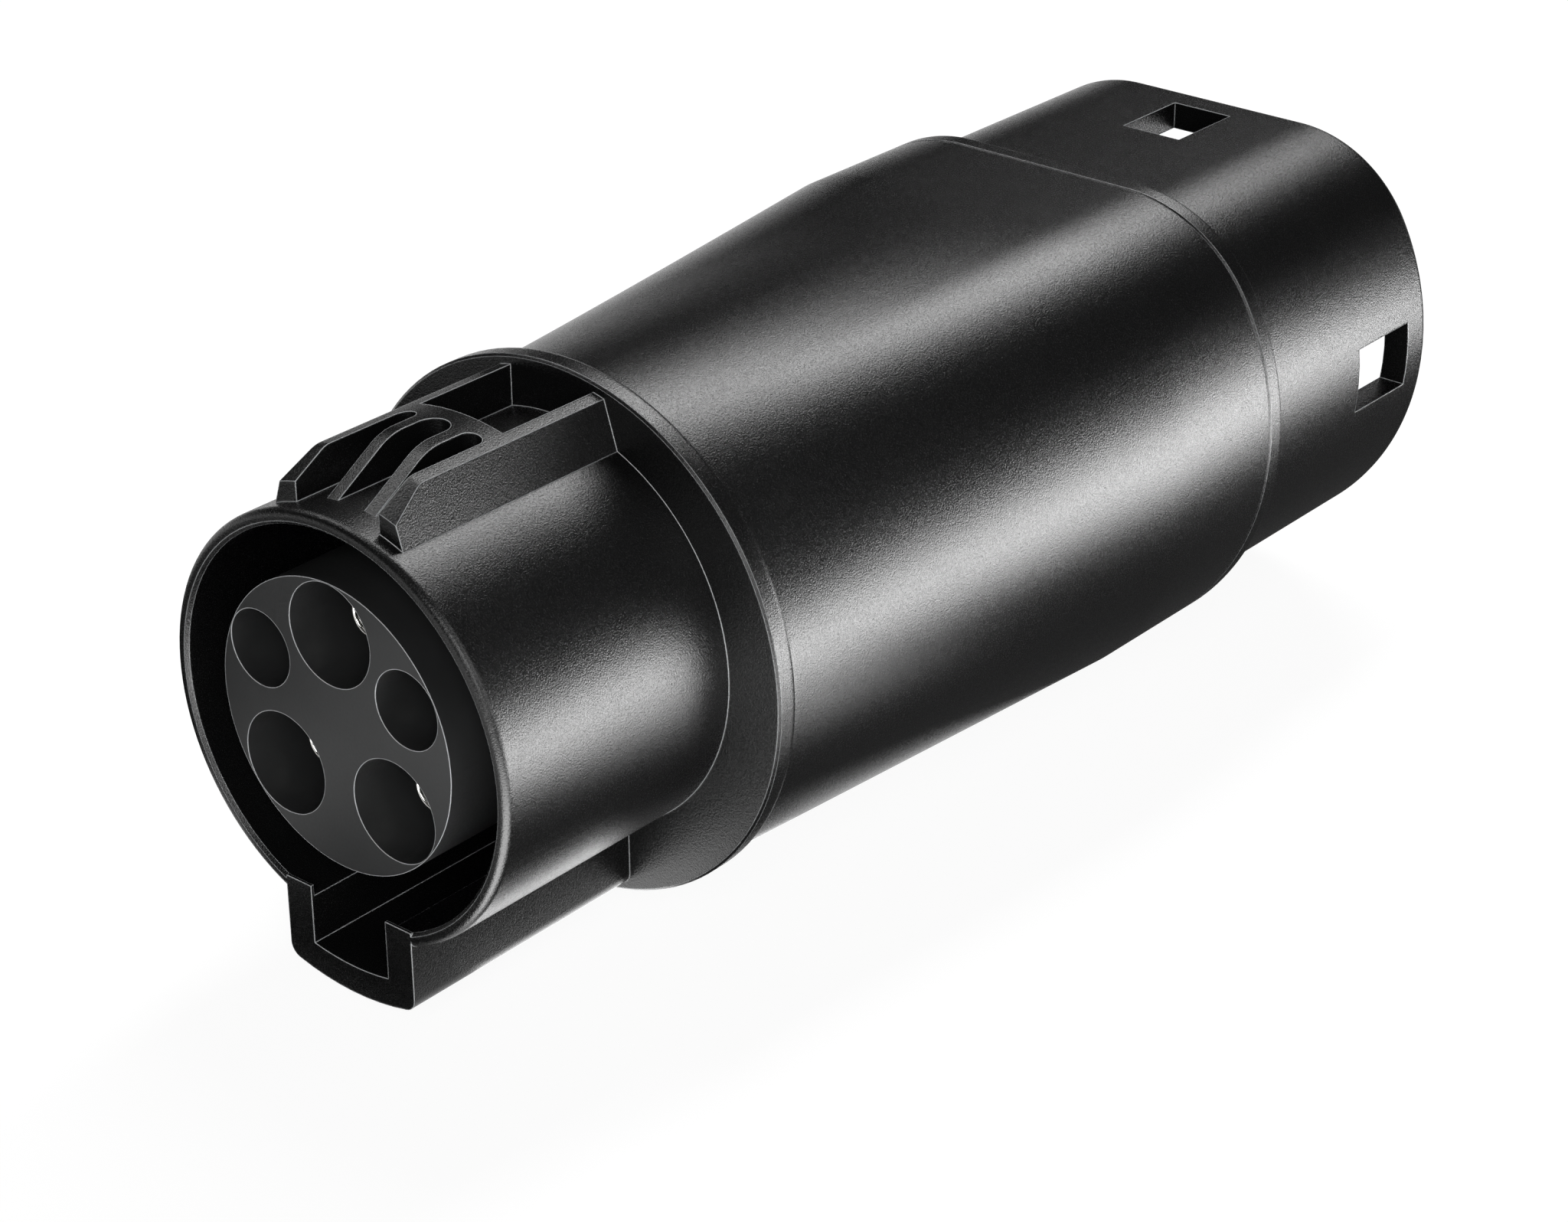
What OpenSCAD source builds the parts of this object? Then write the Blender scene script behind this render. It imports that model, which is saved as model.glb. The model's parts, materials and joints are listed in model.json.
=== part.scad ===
// Charging adapter: a round five-socket plug for the vehicle in front,
// and a D-shaped seven-hole inlet for the charging cable behind.
// The long axis is Y. The plug's front rim is the plane Y = 0, the inlet opens towards +Y,
// and +Z is the side with the latch ramp and the inlet's flat.

/* [Plug barrel] */
// Outer radius of the round barrel
barrel_r = 21.8; // [20:0.1:24]
// Length of the barrel from its front rim to the flange
barrel_l = 30.2; // [26:0.1:36]
// Wall of the barrel
barrel_wall = 1.5; // [1.2:0.1:2]
// Rounding of the barrel's outer front edge
rim_round = 0.8; // [0.2:0.1:1]
// Bevel of the barrel's inner front edge
rim_bevel = 0.35; // [0.1:0.05:0.5]
// How far the ring-shaped cavity's floor lies behind the flange's front face
floor_set = 0.8; // [0.4:0.1:1.4]

/* [Key] */
// Width of the key along the barrel's underside
key_w = 16.8; // [14:0.1:20]
// Height of the key over the barrel's surface
key_h = 6.5; // [5.5:0.1:8]
// Rounding of the key's two lower edges
key_round = 1.5; // [0.5:0.1:2]
// Width of the slot inside the key
slot_w = 10; // [6:0.1:12]
// Thickness of the key's floor under the slot
key_floor = 3; // [2:0.1:4]

/* [Latch ramp] */
// Height of the ramp's rails and ribs over the barrel's surface
latch_h = 4.2; // [3.2:0.1:5]
// Half width between the two rails
rail_in = 5.35; // [4.8:0.05:6]
// Width of a rail's top
rail_top_w = 1.35; // [1:0.05:2]
// Width of a rail's foot on the barrel
rail_foot_w = 2.9; // [2:0.05:3.6]
// Distance of the rails' front faces from the rim
rail_front = 2; // [1.2:0.1:4]
// Height of the rails' upright front faces over the barrel's surface
rail_foot_h = 2; // [1:0.1:2.6]
// Slope of the rails behind those faces, in degrees
rail_slope = 29; // [24:0.5:45]
// Rounding between the rails' slope and their top
rail_round = 2.5; // [1:0.1:5]
// Distance of the ribs' front tips from the rim
rib_front = 3.7; // [2.5:0.1:5]
// Slope of the ribs, in degrees
rib_slope = 31; // [26:0.5:45]
// Rounding between the ribs' slope and their top
rib_round = 6; // [2:0.1:8]
// Offset of each rib from the middle
rib_x = 2.4; // [2:0.05:2.9]
// Width of a rib
rib_w = 1.4; // [1:0.05:1.8]
// Distance of the slots' closed ends from the rim
slots_end = 16; // [14:0.1:18]
// Thickness of the crossbar behind the slots
crossbar_t = 2; // [1.6:0.1:3]

/* [Flange] */
// How far the flange stands out from the barrel
flange_over = 6.3; // [5:0.1:7.5]
// How far the flange's centre lies below the axis
flange_drop = 1.15; // [0:0.05:1.8]
// Thickness of the flange
flange_t = 2.9; // [2.4:0.1:4]
// Rounding of the flange's rear edge
flange_round = 1.1; // [0.4:0.1:1.6]
// Bevel of the flange's front edge
flange_bevel = 0.25; // [0.1:0.05:0.5]

/* [Main sleeve] */
// Step from the flange's edge down to the sleeve's neck
neck_step = 1.35; // [0.8:0.05:2]
// How far the neck's centre lies below the axis
neck_drop = 1.9; // [1:0.05:2.4]
// Length of the rounding at the sleeve's front edge
neck_round = 1.5; // [0.8:0.1:2.5]
// Length of the sleeve
sleeve_l = 75.6; // [66:0.1:90]
// Length over which the sleeve widens behind the rounding
taper_l = 59.4; // [50:0.1:62]
// Wall of the sleeve
sleeve_wall = 2.6; // [2:0.1:3]
// Thickness of the web inside the sleeve's front end
web_t = 3.5; // [3:0.1:4.5]

/* [Inlet shell] */
// How much larger than the barrel's radius the round part of the D-shaped shroud is
shroud_over = 7.6; // [6.8:0.1:9]
// How far the shroud's flat lies inside its round part
flat_drop = 6.6; // [6:0.1:7.4]
// Radius of the blend between the flat and the round part
shroud_corner = 16.5; // [14:0.1:17.5]
// Length of the shroud behind the collar
shroud_l = 33; // [28:0.1:36]
// Wall of the shroud
shroud_wall = 3.1; // [2.4:0.1:3.4]
// Rounding of the shroud's rear outer edge
shroud_round = 0.9; // [0.4:0.1:1.4]
// Thickness of the collar that butts against the sleeve
collar_t = 2.4; // [1.8:0.1:4]
// How far the collar and the sleeve stand out from the shroud
collar_step = 1.85; // [1.2:0.05:2.4]
// Rounding of the collar's rear edge
collar_round = 0.5; // [0.2:0.1:0.9]
// Thickness of the inlet's floor
inlet_floor = 4; // [3.5:0.1:5]
// Length of the spigot that plugs into the sleeve
spigot_l = 6; // [5:0.1:8]

/* [Lock windows] */
// Width of each lock window, across the axis
window_w = 7.6; // [6:0.1:9]
// Length of each lock window, along the axis
window_l = 10.4; // [8:0.1:12]
// Wall between a lock window and the shroud's rear end
window_end = 4; // [2.5:0.1:5]

/* [Socket carrier] */
// Width of the ring-shaped cavity round the carrier of the five sockets
ring_gap = 5.4; // [5:0.1:6]
// How far the carrier's centre lies over the barrel's axis
boss_rise = 0.5; // [0:0.1:0.8]
// How far the carrier's face lies behind the barrel's rim
boss_set = 0; // [0:0.1:2]
// Width of the shoulder at the carrier's rear end
boss_shoulder = 1.3; // [1:0.1:1.5]
// Thickness of that shoulder
boss_shoulder_t = 2.5; // [1.5:0.1:3]
// Radius of the mouths of the three power sockets
power_hole_r = 5.25; // [4.8:0.05:5.3]
// Radius of the mouths of the two signal sockets
signal_hole_r = 3.95; // [3:0.05:4]
// Depth of all five mouths
socket_hole_d = 24; // [18:0.1:27]
// Wall between each mouth and the carrier's edge
socket_rim = 0.1; // [0.1:0.05:0.6]
// Angle of the two signal sockets above the horizontal
signal_angle = 28; // [26:0.1:30]
// Angle of the line and neutral sockets below the horizontal
phase_angle = 41; // [39:0.1:43]

/* [Contacts] */
// Bore radius of a power socket contact
power_bore_r = 1.8; // [1.5:0.05:2]
// Bore radius of a signal socket contact
signal_bore_r = 0.8; // [0.7:0.05:1]
// Depth of the bores
bore_d = 20; // [14:0.1:22]
// Wall of a power socket contact
power_tube_wall = 0.8; // [0.5:0.05:0.9]
// Wall of a signal socket contact
signal_tube_wall = 0.55; // [0.4:0.05:0.7]
// How far the socket contacts lie behind the carrier's face
contact_set = 5.4; // [4:0.1:8]
// Radius of a power pin
power_pin_r = 3; // [2.5:0.05:3.2]
// Radius of a signal pin
signal_pin_r = 1.5; // [1.2:0.05:1.8]
// How far the power pins' tips lie behind the pin carrier's face
power_pin_set = 6; // [4:0.1:9]
// How far the signal pins' tips lie behind the pin carrier's face
signal_pin_set = 9; // [6:0.1:12]
// How much thicker a pin is in front of its hole's floor than behind it
pin_root_over = 0.3; // [0.2:0.05:0.4]
// How far a contact's shoulder stands out from its stem
stem_shoulder = 0.9; // [0.6:0.05:1]
// Thickness of a contact's shoulder
stem_shoulder_t = 1.8; // [1:0.1:2]
// Length of a contact's wire barrel
wire_barrel_l = 8; // [6:0.1:10]
// Wall of a contact's wire barrel
wire_barrel_wall = 0.6; // [0.4:0.05:0.8]

/* [Pin carrier] */
// Gap between the pin carrier and the shroud's round wall
carrier_gap = 6; // [5.4:0.1:6.4]
// Gap between the pin carrier and the shroud's flat wall
carrier_flat_gap = 4.3; // [3.9:0.1:4.5]
// Radius of the blend between the carrier's flat and its round part
carrier_corner = 9; // [7:0.1:10]
// How far the carrier's face lies inside the shroud's rear end
carrier_set = 4.1; // [2:0.1:6]
// Width of the flange at the carrier's front end
carrier_flange_w = 4.1; // [3.8:0.1:4.2]
// Thickness of that flange
carrier_flange_t = 3; // [2.4:0.1:3.4]
// Bevel of the carrier's rear edge
carrier_bevel = 0.6; // [0.3:0.1:1]
// Radius of the five power holes
pin_hole_r = 5.1; // [4.6:0.05:5.3]
// Radius of the two signal holes
pin_signal_hole_r = 3.4; // [2.8:0.05:3.8]
// Depth of the seven holes
pin_hole_d = 23; // [18:0.1:24]
// Offset of the line and neutral pins from the middle
middle_x = 13; // [12.6:0.1:13.4]
// Offset of the lower pair of holes from the middle
lower_x = 6.9; // [6.2:0.1:7.4]
// Distance of the lower pair of holes below the axis
lower_y = 12.1; // [11.6:0.1:12.4]
// Offset of the signal pins from the middle
upper_x = 6.9; // [6:0.1:7.6]
// Height of the signal pins over the axis
upper_y = 10.8; // [10.2:0.1:11.4]

/* [Inside] */
// Thickness of the plate that holds the socket carrier
front_plate_t = 2.5; // [2:0.1:3.5]
// How far that plate reaches over the sleeve's web
front_plate_over = 2.2; // [1.6:0.1:2.4]
// Thickness of the plate that holds the pin carrier
rear_plate_t = 2.5; // [2:0.1:3.5]
// Radius of a screw's shank
screw_r = 1.25; // [1:0.05:1.3]
// Length of a screw's shank in the plastic behind the clamped plates
screw_bite = 3.2; // [2.4:0.1:3.4]
// Radius of a screw's head
screw_head_r = 2.3; // [2:0.1:2.6]
// Height of a screw's head
screw_head_h = 1.7; // [1.2:0.1:2.2]
// Radius of the plug's seal ring section
front_seal_r = 0.6; // [0.5:0.05:0.7]
// Width of the inlet's seal ring
rear_seal_w = 1.8; // [1.2:0.1:2.2]
// Thickness of the inlet's seal ring
rear_seal_t = 1.1; // [0.8:0.1:1.2]
// Radius of a power wire over its jacket
power_wire_r = 2.4; // [2:0.05:2.6]
// Radius of a signal wire over its jacket
signal_wire_r = 1; // [0.8:0.05:1.2]
// Width of the coding board
board_w = 25; // [22:0.1:28]
// Length of the coding board
board_l = 24; // [18:0.1:28]
// Thickness of the coding board
board_t = 1.6; // [1:0.1:2]
// Distance of the board's underside below the axis
board_drop = 13; // [11.6:0.1:14]
// Radius of the coding resistor's body
resistor_r = 1.3; // [1:0.1:1.6]
// Length of the coding resistor's body
resistor_l = 6.5; // [5:0.1:8]

/* [Fits] */
// Clearance of a plain seat, on each side
fit = 0.1; // [0.05:0.05:0.2]
// Clearance of the inlet shell's spigot in the sleeve
spigot_fit = 0.15; // [0.1:0.05:0.25]
// Clearance round a wire barrel where it passes through a plate
pass_fit = 0.3; // [0.2:0.05:0.5]
// Clearance round a screw in a plate
screw_fit = 0.2; // [0.1:0.05:0.3]
// Gap between the plate that holds the socket carrier and the sleeve's wall
plate_gap = 1.5; // [1:0.1:2.5]

/* [Hidden] */
$fn = 96;

eps = 0.01;
seat_fit = 0.05;
arc_steps = 8;
sleeve_sides = 96;
d_step = 5;
wire_sides = 10;
wire_rings = 12;

black_shell = "#26272a";
black_insert = "#2f3033";
contact_silver = "#c9c5ba";
seal_grey = "#54565a";
plate_black = "#38393c";
screw_steel = "#a9abae";
board_green = "#1f5a3a";
resistor_tan = "#b99b6b";

// Stations along the axis
z_flange = barrel_l;
z_sleeve = z_flange + flange_t;
z_web = z_sleeve + web_t;
z_collar = z_sleeve + sleeve_l;
z_shroud = z_collar + collar_t;
z_floor = z_shroud + inlet_floor;
z_rear = z_shroud + shroud_l;
z_cavity = z_flange + floor_set;
z_boss = boss_set;
z_pin_face = z_rear - carrier_set;
z_pin_flange = z_shroud - carrier_flange_t;
z_board = z_pin_flange - rear_plate_t - board_l;

// Radii and profiles that follow from the driving sizes
cavity_r = barrel_r - barrel_wall;
boss_r = cavity_r - ring_gap;
shroud_r = barrel_r + shroud_over;
shroud_flat = shroud_r - flat_drop;
key_r = barrel_r + key_h;
key_slot_r = key_r - key_floor;
latch_r = barrel_r + latch_h;
flange_r = barrel_r + flange_over;
neck_r = flange_r - neck_step;
plug_spigot_r = neck_r - sleeve_wall - front_plate_over - plate_gap;
plug_spigot_end = z_web - fit;
shoulder_r = boss_r + boss_shoulder;
screw_ring_r = plug_spigot_r - screw_r - 0.6;
body_in = -collar_step;
pin_boss_r = shroud_r - shroud_wall - carrier_gap;
pin_boss_flat = shroud_flat - shroud_wall - carrier_flat_gap;
board_y = -board_drop;
board_top = board_y + board_t;

socket_power_r = power_bore_r + power_tube_wall;
socket_signal_r = signal_bore_r + signal_tube_wall;

// The five sockets as [x, y], seen from the plug's front with +y up
power_ring = boss_r - power_hole_r - socket_rim;
signal_ring = boss_r - signal_hole_r - socket_rim;
earth_at = [0, boss_rise + power_ring];
line_at = [power_ring * cos(phase_angle), boss_rise - power_ring * sin(phase_angle)];
neutral_at = [-line_at[0], line_at[1]];
pilot_at = [signal_ring * cos(signal_angle), boss_rise + signal_ring * sin(signal_angle)];
proximity_at = [-pilot_at[0], pilot_at[1]];
power_sockets = [earth_at, line_at, neutral_at];
signal_sockets = [pilot_at, proximity_at];

// The five pins and the two unused holes
pin_earth_at = [0, 0];
pin_line_at = [middle_x, 0];
pin_neutral_at = [-middle_x, 0];
pin_pilot_at = [upper_x, upper_y];
pin_proximity_at = [-upper_x, upper_y];
spare_at = [[lower_x, -lower_y], [-lower_x, -lower_y]];
power_pins = [pin_earth_at, pin_line_at, pin_neutral_at];
signal_pins = [pin_pilot_at, pin_proximity_at];

// Screws of the front plate stand on the plug spigot, those of the rear plate round the carrier
front_screw_angles = [-135, -45, 15, 165];
rear_screw_angles = [-140, -40, 28, 152];

// Turns a shape drawn with z along the axis and y up into the adapter's own frame
module along_axis() {
    rotate([90, 0, 0])
        mirror([0, 0, 1])
            children();
}

function arc(centre, r, from, to) = [
    for (i = [0:arc_steps])
        centre + r * [cos(from + (to - from) * i / arc_steps), sin(from + (to - from) * i / arc_steps)]
];

// Points number first to last of an arc in n steps
function arc_run(centre, r, from, to, first, last, n) = [
    for (i = [first:last])
        let (a = from + (to - from) * i / n)
        centre + r * [cos(a), sin(a)]
];

// Outline of a circle with a flat on top and blended corners, as points from the flat clockwise
function d_points(r, flat, corner) =
    let (
        cy = flat - corner,
        cx = sqrt(pow(r - corner, 2) - cy * cy),
        turn = atan2(cy, cx),
        blend_n = ceil((90 - turn) / d_step),
        round_n = ceil((180 + 2 * turn) / d_step)
    )
    concat(
        arc_run([cx, cy], corner, 90, turn, 0, blend_n, blend_n),
        arc_run([0, 0], r, turn, -180 - turn, 1, round_n - 1, round_n),
        arc_run([-cx, cy], corner, 180 - turn, 90, 0, blend_n, blend_n)
    );

// The shroud's outline moved inwards by a distance
module shroud_outline(inset = 0) {
    polygon(d_points(shroud_r - inset, shroud_flat - inset, shroud_corner - inset));
}

// The pin carrier's outline moved outwards by a distance
module pin_boss_outline(grow = 0) {
    polygon(d_points(pin_boss_r + grow, pin_boss_flat + grow, carrier_corner + grow));
}

// A thin slice of an outline, for blends between outlines
module slice(z) {
    translate([0, 0, z])
        linear_extrude(eps)
            children();
}

// Places copies at a list of [x, y] points
module at_points(points) {
    for (p = points)
        translate([p[0], p[1], 0])
            children();
}

module tube_between(r_out, r_in, z0, z1) {
    translate([0, 0, z0])
        difference() {
            cylinder(r = r_out, h = z1 - z0);
            translate([0, 0, -1])
                cylinder(r = r_in, h = z1 - z0 + 2);
        }
}

// Plug

module barrel_tube() {
    outer_edge = arc([barrel_r - rim_round, rim_round], rim_round, -90, 0);
    rotate_extrude()
        polygon(concat(
            [
                [cavity_r - 1, z_sleeve], [cavity_r - 1, rim_bevel + 1],
                [cavity_r, rim_bevel], [cavity_r + rim_bevel, 0]
            ],
            outer_edge,
            [[barrel_r, z_sleeve]]
        ));
}

function key_points() =
    let (
        side = key_w / 2,
        cx = side - key_round,
        cy = -sqrt(pow(key_r - key_round, 2) - cx * cx),
        turn = atan2(cy, cx),
        top = -sqrt(pow(cavity_r, 2) - side * side)
    )
    concat(
        [[-side, top], [side, top]],
        arc([cx, cy], key_round, 0, turn),
        arc([0, 0], key_r, turn, -180 - turn),
        arc([-cx, cy], key_round, -180 - turn, -180)
    );

module key_body() {
    linear_extrude(z_flange + eps)
        polygon(key_points());
}

module key_slot() {
    translate([0, 0, -1])
        linear_extrude(z_cavity + 1)
            intersection() {
                circle(r = key_slot_r);
                translate([-slot_w / 2, -key_r])
                    square([slot_w, key_r]);
            }
}

// Section of the two rails, whose outer sides lean inwards
module rail_sections() {
    foot_x = rail_in + rail_foot_w;
    top_x = rail_in + rail_top_w;
    foot_y = sqrt(pow(barrel_r, 2) - foot_x * foot_x);
    top_y = sqrt(pow(latch_r, 2) - top_x * top_x);
    lean = (foot_x - top_x) / (top_y - foot_y);
    low = foot_y - 1;
    high = latch_r + 1;
    low_x = foot_x + lean * (foot_y - low);
    high_x = top_x - lean * (high - top_y);
    difference() {
        polygon([[-low_x, low], [low_x, low], [high_x, high], [-high_x, high]]);
        translate([-rail_in, low - 1])
            square([2 * rail_in, high - low + 2]);
    }
}

// Lengthwise form of the ramp, turned about the axis: upright foot, slope, rounding and top
module ramp_form(front, foot_h, slope, round_r) {
    foot_r = barrel_r + foot_h;
    end_r = latch_r - round_r * (1 - cos(slope));
    end_z = front + (end_r - foot_r) / tan(slope);
    low_r = barrel_r - 1;
    rotate_extrude()
        polygon(concat(
            [[low_r, front], [foot_r, front]],
            arc([latch_r - round_r, end_z + round_r * sin(slope)], round_r, -slope, 0),
            [[latch_r, z_flange + eps], [low_r, z_flange + eps]]
        ));
}

// One slot of the ramp, seen from above, closed by a round end at the rear
module ramp_slot(x0, x1) {
    r = (x1 - x0) / 2;
    translate([x0, 0, 0])
        cube([x1 - x0, latch_r + 2, slots_end - r]);
    translate([x0 + r, 0, slots_end - r])
        rotate([-90, 0, 0])
            cylinder(r = r, h = latch_r + 2);
}

module latch_ramp() {
    rail_length = z_flange - rail_front + eps;
    pocket_z = slots_end + crossbar_t;
    intersection() {
        ramp_form(rail_front, rail_foot_h, rail_slope, rail_round);
        translate([0, 0, rail_front - 1])
            linear_extrude(rail_length + 1)
                rail_sections();
    }
    // The two ribs and the crossbar between the rails
    difference() {
        intersection() {
            ramp_form(rib_front, 0, rib_slope, rib_round);
            translate([-rail_in - eps, 0, 0])
                cube([2 * (rail_in + eps), latch_r + 1, pocket_z]);
        }
        ramp_slot(-rail_in, -rib_x - rib_w / 2);
        ramp_slot(-rib_x + rib_w / 2, rib_x - rib_w / 2);
        ramp_slot(rib_x + rib_w / 2, rail_in);
    }
}

module flange_disc() {
    rear_edge = arc([flange_r - flange_round, z_sleeve - flange_round], flange_round, 0, 90);
    translate([0, -flange_drop, 0])
        rotate_extrude()
            polygon(concat(
                [[0, z_flange], [flange_r - flange_bevel, z_flange], [flange_r, z_flange + flange_bevel]],
                rear_edge,
                [[0, z_sleeve]]
            ));
}

module plug_spigot() {
    groove_r = plug_spigot_r - 2 * front_seal_r + fit / 2;
    groove_z = z_sleeve + web_t / 2;
    difference() {
        translate([0, -neck_drop, z_sleeve - eps])
            cylinder(r = plug_spigot_r, h = plug_spigot_end - z_sleeve + eps);
        translate([0, -neck_drop, groove_z - front_seal_r - seat_fit])
            difference() {
                cylinder(r = plug_spigot_r + 1, h = 2 * (front_seal_r + seat_fit));
                translate([0, 0, -1])
                    cylinder(r = groove_r, h = 2 * (front_seal_r + seat_fit) + 2);
            }
    }
}

module at_front_screws() {
    translate([0, -neck_drop, 0])
        for (a = front_screw_angles)
            translate([screw_ring_r * cos(a), screw_ring_r * sin(a), 0])
                children();
}

module nose_shell() {
    color(black_shell)
        along_axis()
            difference() {
                union() {
                    barrel_tube();
                    key_body();
                    latch_ramp();
                    flange_disc();
                    plug_spigot();
                }
                // Ring-shaped cavity, key slot, and the carrier's seat
                translate([0, 0, rim_bevel])
                    cylinder(r = cavity_r, h = z_cavity - rim_bevel);
                key_slot();
                translate([0, boss_rise, z_cavity - 1])
                    cylinder(r = boss_r + fit, h = plug_spigot_end - z_cavity + 2);
                translate([0, boss_rise, plug_spigot_end - boss_shoulder_t])
                    cylinder(r = shoulder_r + fit, h = boss_shoulder_t + 1);
                // Screw holes
                at_front_screws()
                    translate([0, 0, plug_spigot_end - screw_bite - fit])
                        cylinder(r = screw_r + seat_fit, h = screw_bite + 1);
            }
}

module socket_carrier() {
    power_stem_r = socket_power_r + stem_shoulder;
    signal_stem_r = socket_signal_r + stem_shoulder;
    color(black_insert)
        along_axis()
            difference() {
                union() {
                    translate([0, boss_rise, z_boss])
                        cylinder(r = boss_r, h = plug_spigot_end - z_boss);
                    translate([0, boss_rise, plug_spigot_end - boss_shoulder_t])
                        cylinder(r = shoulder_r, h = boss_shoulder_t);
                }
                at_points(power_sockets) {
                    translate([0, 0, z_boss - 1])
                        cylinder(r = power_hole_r, h = socket_hole_d + 1);
                    cylinder(r = socket_power_r + fit, h = plug_spigot_end + 1);
                    translate([0, 0, plug_spigot_end - stem_shoulder_t])
                        cylinder(r = power_stem_r + fit, h = stem_shoulder_t + 1);
                }
                at_points(signal_sockets) {
                    translate([0, 0, z_boss - 1])
                        cylinder(r = signal_hole_r, h = socket_hole_d + 1);
                    cylinder(r = socket_signal_r + fit, h = plug_spigot_end + 1);
                    translate([0, 0, plug_spigot_end - stem_shoulder_t])
                        cylinder(r = signal_stem_r + fit, h = stem_shoulder_t + 1);
                }
            }
}

// One turned socket contact: open tube in front, shoulder, and wire barrel behind
module socket_contact(bore_r, tube_wall) {
    r = bore_r + tube_wall;
    z_tip = z_boss + contact_set;
    z_tail = plug_spigot_end + wire_barrel_l;
    lip = tube_wall / 2;
    color(contact_silver)
        along_axis()
            rotate_extrude()
                polygon([
                    [0, z_tip + bore_d], [bore_r, z_tip + bore_d],
                    [bore_r, z_tip + lip], [bore_r + lip, z_tip], [r - lip / 2, z_tip],
                    [r, z_tip + lip], [r, plug_spigot_end - stem_shoulder_t],
                    [r + stem_shoulder, plug_spigot_end - stem_shoulder_t],
                    [r + stem_shoulder, plug_spigot_end],
                    [r, plug_spigot_end], [r, z_tail], [r - wire_barrel_wall, z_tail],
                    [r - wire_barrel_wall, z_tail - wire_barrel_l + 1], [0, z_tail - wire_barrel_l + 1]
                ]);
}

module shifted(at) {
    translate([at[0], 0, at[1]])
        children();
}

module socket_earth() {
    shifted(earth_at)
        socket_contact(power_bore_r, power_tube_wall);
}

module socket_line() {
    shifted(line_at)
        socket_contact(power_bore_r, power_tube_wall);
}

module socket_neutral() {
    shifted(neutral_at)
        socket_contact(power_bore_r, power_tube_wall);
}

module socket_pilot() {
    shifted(pilot_at)
        socket_contact(signal_bore_r, signal_tube_wall);
}

module socket_proximity() {
    shifted(proximity_at)
        socket_contact(signal_bore_r, signal_tube_wall);
}

// A screw with its head in front of z and its shank towards -z
module screw(z, grip) {
    translate([0, 0, z])
        cylinder(r1 = screw_head_r, r2 = screw_head_r * 0.8, h = screw_head_h);
    translate([0, 0, z - grip - screw_bite])
        cylinder(r = screw_r, h = grip + screw_bite + eps);
}

module front_plate() {
    color(plate_black)
        along_axis()
            difference() {
                translate([0, -neck_drop, z_web])
                    cylinder(r = plug_spigot_r + front_plate_over, h = front_plate_t);
                at_points(power_sockets)
                    translate([0, 0, z_web - 1])
                        cylinder(r = socket_power_r + pass_fit, h = front_plate_t + 2);
                at_points(signal_sockets)
                    translate([0, 0, z_web - 1])
                        cylinder(r = socket_signal_r + pass_fit, h = front_plate_t + 2);
                at_front_screws()
                    translate([0, 0, z_web - 1])
                        cylinder(r = screw_r + screw_fit, h = front_plate_t + 2);
            }
}

module front_screws() {
    color(screw_steel)
        along_axis()
            at_front_screws()
                screw(z_web + front_plate_t, front_plate_t + fit);
}

module front_seal() {
    color(seal_grey)
        along_axis()
            translate([0, -neck_drop, z_sleeve + web_t / 2])
                rotate_extrude()
                    translate([plug_spigot_r - front_seal_r + fit / 2, 0])
                        circle(r = front_seal_r - seat_fit / 2, $fn = 24);
}

// Sleeve

// Distance from the axis to the shroud's outline, moved inwards by a distance, at an angle
function d_reach(a, inset) =
    let (
        r = shroud_r - inset,
        flat = shroud_flat - inset,
        corner = shroud_corner - inset,
        cy = flat - corner,
        cx = sqrt(pow(r - corner, 2) - cy * cy),
        turn = atan2(cy, cx),
        up = sin(a),
        side = abs(cos(a)),
        along = cx * side + cy * up
    )
    up > 0 && flat * side <= cx * up ? flat / up
    : atan2(up, side) > turn ? along + sqrt(along * along - cx * cx - cy * cy + corner * corner)
    : r;

// One ring of the sleeve's surface: round about the neck's centre, or along the shroud's outline
function round_ring(z, r) = [
    for (k = [0:sleeve_sides - 1]) let (a = 360 * k / sleeve_sides) [r * cos(a), r * sin(a) - neck_drop, z]
];

function d_ring(z, inset) = [
    for (k = [0:sleeve_sides - 1])
        let (a = 360 * k / sleeve_sides, r = d_reach(a, inset))
        [r * cos(a), r * sin(a), z]
];

// A closed skin through a loop of rings, from the outside over the rear end to the inside
module ring_skin(rings) {
    n = sleeve_sides;
    count = len(rings);
    faces = [
        for (i = [0:count - 1], k = [0:n - 1], half = [0, 1])
            let (
                j = (i + 1) % count,
                k1 = (k + 1) % n
            )
            half == 0 ? [i * n + k, j * n + k, j * n + k1] : [i * n + k, j * n + k1, i * n + k1]
    ];
    polyhedron([for (ring = rings, p = ring) p], faces, convexity = 6);
}

module main_sleeve() {
    z_neck = z_sleeve + neck_round;
    neck_edge = neck_round * 0.55;
    hole_r = plug_spigot_r + fit;
    color(black_shell)
        along_axis()
            ring_skin(concat(
                [
                    for (a = [0, 30, 60, 90])
                        round_ring(z_sleeve + neck_round * (1 - cos(a)), neck_r - neck_edge * (1 - sin(a)))
                ],
                [
                    d_ring(z_neck + taper_l, body_in),
                    d_ring(z_collar, body_in),
                    d_ring(z_collar, body_in + sleeve_wall),
                    d_ring(z_neck + taper_l, body_in + sleeve_wall),
                    round_ring(z_web, neck_r - sleeve_wall),
                    round_ring(z_web, hole_r),
                    round_ring(z_sleeve, hole_r)
                ]
            ));
}

// Inlet

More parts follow.
